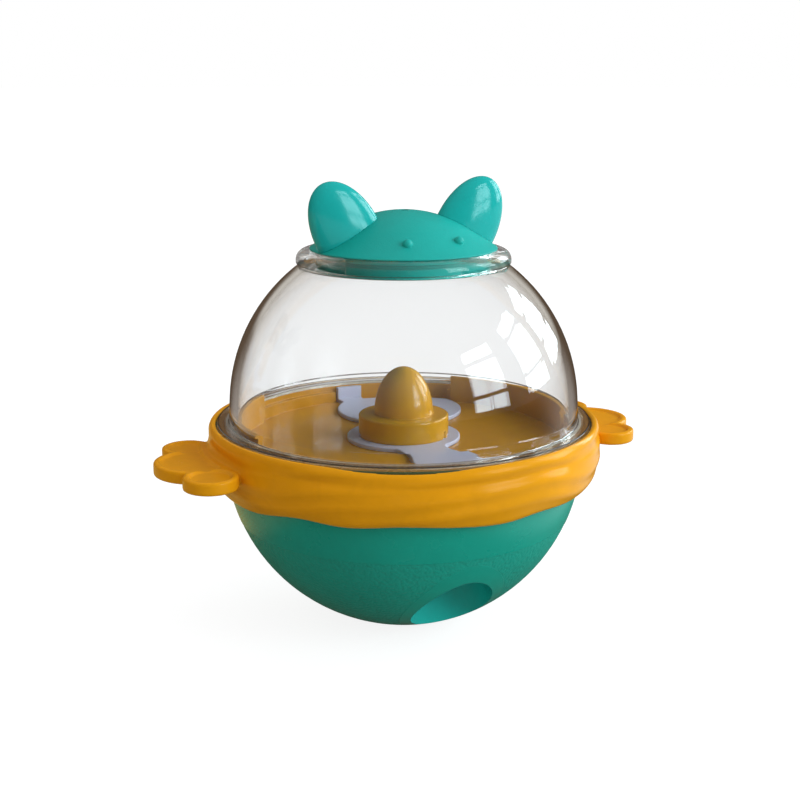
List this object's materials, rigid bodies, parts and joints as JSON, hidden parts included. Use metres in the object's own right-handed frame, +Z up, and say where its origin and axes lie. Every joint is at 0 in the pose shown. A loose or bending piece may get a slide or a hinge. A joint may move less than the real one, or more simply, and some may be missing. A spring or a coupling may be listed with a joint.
{
  "type": "rolling treat dispenser",
  "caption": "Self-righting ball that drops pet treats from a domed tray through a shutter and out of a slanted outlet in its weighted bowl, with an eared cap and cloud-shaped handles.",
  "frame": {"origin": "centre of the flat foot under the bowl, on the surface the toy stands on", "axes": "+Z up through the dome and cap, +X towards the right handle and right ear, -Y towards the outlet and the cap's eyes"},
  "size_m": [0.1568, 0.1214, 0.1367],
  "materials": {
    "bowl_teal": "fine stippled moulding",
    "sleeve_teal": "smooth satin moulding",
    "band_orange": "satin soft elastomer",
    "weight_iron": "rough",
    "cover_plastic": "plain",
    "screw_steel": "zinc plated",
    "tray_orange": "gloss",
    "shutter_grey": "gloss",
    "knob_yellow": "gloss",
    "dome_clear": "clear, polished",
    "gasket_clear": "translucent silicone",
    "gasket_black": "matt rubber",
    "seal_green": "satin silicone",
    "cap_teal": "matte",
    "ear_teal": "gloss"
  },
  "bodies": {
    "base": {"bowl": "bowl_teal", "outlet_sleeve": "sleeve_teal", "band": "band_orange", "counterweight": "weight_iron", "weight_cover": "cover_plastic", "cover_screws": "screw_steel", "tray": "tray_orange", "tray_screws": "screw_steel"},
    "selector": {"knob": "knob_yellow", "shutter": "shutter_grey", "friction_ring": "gasket_black", "selector_washer": "screw_steel", "selector_screw": "screw_steel"},
    "dome_seal": {"dome_gasket": "gasket_clear"},
    "dome": {"dome": "dome_clear"},
    "cap_seal": {"cap_seal": "seal_green"},
    "cap": {"cap": "cap_teal", "ear_left": "ear_teal", "ear_right": "ear_teal", "ear_screws": "screw_steel"}
  },
  "joints": [
    {"name": "selector_turn", "type": "hinge", "parent": "base", "child": "selector", "pos_m": [0, 0, 0.057], "axis": [0, 0, -1], "range_deg": [0, 33]},
    {"name": "dome_rise", "type": "slide", "parent": "base", "child": "dome_seal", "axis": [0, 0, 1], "range_m": [0, 0.0013]},
    {"name": "dome_turn", "type": "hinge", "parent": "dome_seal", "child": "dome", "pos_m": [0, 0, 0.0626], "axis": [0, 0, 1], "range_deg": [0, 38]},
    {"name": "cap_lift", "type": "slide", "parent": "dome", "child": "cap_seal", "axis": [0, 0, 1], "range_m": [0, 0.03]},
    {"name": "cap_turn", "type": "hinge", "parent": "cap_seal", "child": "cap", "pos_m": [0, 0, 0.1158], "axis": [0, 0, 1], "continuous": true}
  ],
  "couplings": [
    {"joint": "dome_rise", "follows": "dome_turn", "m_per_rad": 0.0019099}
  ]
}
